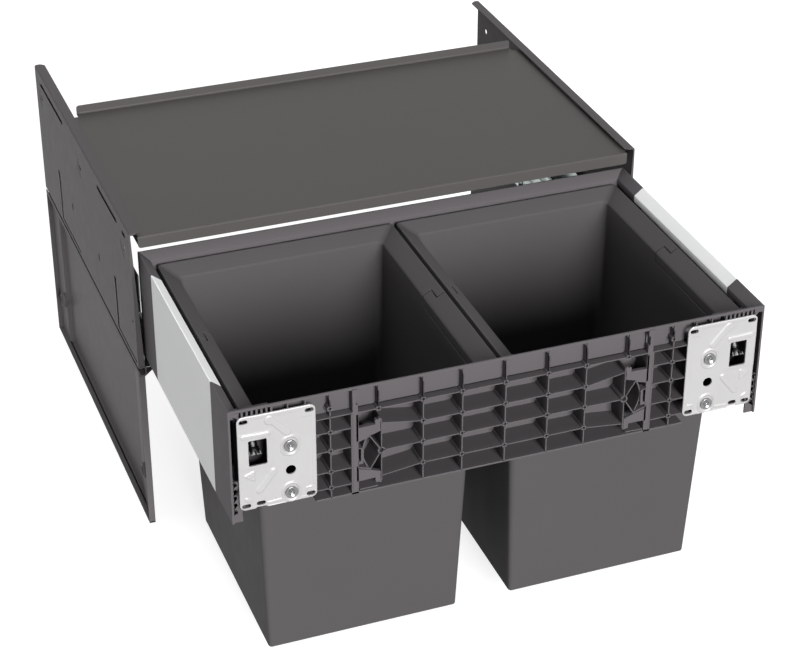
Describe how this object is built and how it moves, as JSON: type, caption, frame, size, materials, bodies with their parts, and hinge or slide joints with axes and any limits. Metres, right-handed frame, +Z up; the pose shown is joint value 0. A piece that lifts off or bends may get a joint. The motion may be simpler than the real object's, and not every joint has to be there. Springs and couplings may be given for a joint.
{
  "type": "pull-out waste cabinet unit",
  "caption": "Pull-out waste unit for a base cabinet: steel side plates and lid, ball runners, ribbed frame with front fixing plates, lift-out bins with bail handles.",
  "frame": {"origin": "middle of the unit's footprint, at the height of the lower guards' bottom edge", "axes": "+X to the right as seen from in front of the cabinet, +Y towards the cabinet's back, +Z up; the drawer pulls out towards -Y"},
  "size_m": [0.564, 0.7602, 0.3631],
  "materials": {
    "coated_steel": "satin dark grey powder coat",
    "guard_steel": "satin dark grey powder coat",
    "lid_steel": "satin dark grey powder coat",
    "zinc_steel": "galvanised sheet",
    "runner_steel": "galvanised, grey-green",
    "screw_steel": "blue-grey zinc",
    "frame_plastic": "fine matte",
    "wall_plastic": "fine matte, dark",
    "cover_plastic": "smooth light grey",
    "bin_plastic": "fine matte",
    "black_plastic": "matte black",
    "cage_plastic": "natural"
  },
  "bodies": {
    "cabinet_side": {"side_plate_left": "coated_steel", "side_plate_right": "coated_steel", "lower_guard_left": "guard_steel", "lower_guard_right": "guard_steel", "cabinet_rail_left": "runner_steel", "cabinet_rail_right": "runner_steel", "rail_bracket_left": "runner_steel", "rail_bracket_right": "runner_steel", "front_stop_left": "black_plastic", "front_stop_right": "black_plastic", "damper_housing_left": "black_plastic", "damper_housing_right": "black_plastic", "shelf_lid": "lid_steel", "rail_rivets": "screw_steel"},
    "drawer": {"front_beam": "frame_plastic", "rear_frame": "frame_plastic", "clamp_screws": "screw_steel", "frame_screws": "screw_steel", "front_corner_left": "frame_plastic", "front_corner_right": "frame_plastic", "side_wall_left": "wall_plastic", "side_wall_right": "wall_plastic", "side_cover_left": "cover_plastic", "side_cover_right": "cover_plastic", "drawer_rail_left": "runner_steel", "drawer_rail_right": "runner_steel"},
    "middle_rail_left": {"middle_rail_left": "runner_steel"},
    "lower_cage_left": {"lower_cage_left": "cage_plastic"},
    "upper_cage_left": {"upper_cage_left": "cage_plastic"},
    "damper_catch_left": {"damper_catch_left": "screw_steel"},
    "adjuster_left": {"adjuster_left": "screw_steel"},
    "fixing_plate_left": {"fixing_plate_left": "zinc_steel"},
    "bin_left": {"bin_left": "bin_plastic"},
    "bin_handle_left": {"bin_handle_left": "bin_plastic"},
    "middle_rail_right": {"middle_rail_right": "runner_steel"},
    "lower_cage_right": {"lower_cage_right": "cage_plastic"},
    "upper_cage_right": {"upper_cage_right": "cage_plastic"},
    "damper_catch_right": {"damper_catch_right": "screw_steel"},
    "adjuster_right": {"adjuster_right": "screw_steel"},
    "fixing_plate_right": {"fixing_plate_right": "zinc_steel"},
    "bin_right": {"bin_right": "bin_plastic"},
    "bin_handle_right": {"bin_handle_right": "bin_plastic"}
  },
  "joints": [
    {"name": "drawer_slide", "type": "slide", "parent": "cabinet_side", "child": "drawer", "axis": [0, -1, 0], "range_m": [-0.312, 0]},
    {"name": "middle_rail_left_slide", "type": "slide", "parent": "cabinet_side", "child": "middle_rail_left", "axis": [0, -1, 0], "range_m": [-0.156, 0]},
    {"name": "lower_cage_left_slide", "type": "slide", "parent": "cabinet_side", "child": "lower_cage_left", "axis": [0, -1, 0], "range_m": [-0.078, 0]},
    {"name": "upper_cage_left_slide", "type": "slide", "parent": "cabinet_side", "child": "upper_cage_left", "axis": [0, -1, 0], "range_m": [-0.234, 0]},
    {"name": "damper_left_slide", "type": "slide", "parent": "cabinet_side", "child": "damper_catch_left", "axis": [0, 1, 0], "range_m": [0, 0.045]},
    {"name": "adjuster_left_turn", "type": "hinge", "parent": "drawer", "child": "adjuster_left", "pos_m": [-0.2478, -0.3677, 0.28466], "axis": [0, 0.6157, 0.788], "range_deg": [-720, 720]},
    {"name": "fixing_plate_left_lift", "type": "slide", "parent": "drawer", "child": "fixing_plate_left", "axis": [0, 0, 1], "range_m": [-0.002, 0.002]},
    {"name": "bin_left_lift", "type": "slide", "parent": "drawer", "child": "bin_left", "axis": [0, 0, 1], "range_m": [0, 0.35]},
    {"name": "bin_handle_left_swing", "type": "hinge", "parent": "bin_left", "child": "bin_handle_left", "pos_m": [-0.12935, -0.2118, 0.3147], "axis": [-1, 0, 0], "range_deg": [0, 95]},
    {"name": "middle_rail_right_slide", "type": "slide", "parent": "cabinet_side", "child": "middle_rail_right", "axis": [0, -1, 0], "range_m": [-0.156, 0]},
    {"name": "lower_cage_right_slide", "type": "slide", "parent": "cabinet_side", "child": "lower_cage_right", "axis": [0, -1, 0], "range_m": [-0.078, 0]},
    {"name": "upper_cage_right_slide", "type": "slide", "parent": "cabinet_side", "child": "upper_cage_right", "axis": [0, -1, 0], "range_m": [-0.234, 0]},
    {"name": "damper_right_slide", "type": "slide", "parent": "cabinet_side", "child": "damper_catch_right", "axis": [0, 1, 0], "range_m": [0, 0.045]},
    {"name": "adjuster_right_turn", "type": "hinge", "parent": "drawer", "child": "adjuster_right", "pos_m": [0.2478, -0.3677, 0.28466], "axis": [0, 0.6157, 0.788], "range_deg": [-720, 720]},
    {"name": "fixing_plate_right_lift", "type": "slide", "parent": "drawer", "child": "fixing_plate_right", "axis": [0, 0, 1], "range_m": [-0.002, 0.002]},
    {"name": "bin_right_lift", "type": "slide", "parent": "drawer", "child": "bin_right", "axis": [0, 0, 1], "range_m": [0, 0.35]},
    {"name": "bin_handle_right_swing", "type": "hinge", "parent": "bin_right", "child": "bin_handle_right", "pos_m": [0.12935, -0.2118, 0.3147], "axis": [-1, 0, 0], "range_deg": [0, 95]}
  ],
  "couplings": [
    {"joint": "middle_rail_left_slide", "follows": "drawer_slide", "ratio": 0.5},
    {"joint": "lower_cage_left_slide", "follows": "drawer_slide", "ratio": 0.25},
    {"joint": "upper_cage_left_slide", "follows": "drawer_slide", "ratio": 0.75},
    {"joint": "adjuster_left_turn", "follows": "fixing_plate_left_lift", "rad_per_m": 6283.2},
    {"joint": "middle_rail_right_slide", "follows": "drawer_slide", "ratio": 0.5},
    {"joint": "lower_cage_right_slide", "follows": "drawer_slide", "ratio": 0.25},
    {"joint": "upper_cage_right_slide", "follows": "drawer_slide", "ratio": 0.75},
    {"joint": "adjuster_right_turn", "follows": "fixing_plate_right_lift", "rad_per_m": 6283.2}
  ]
}
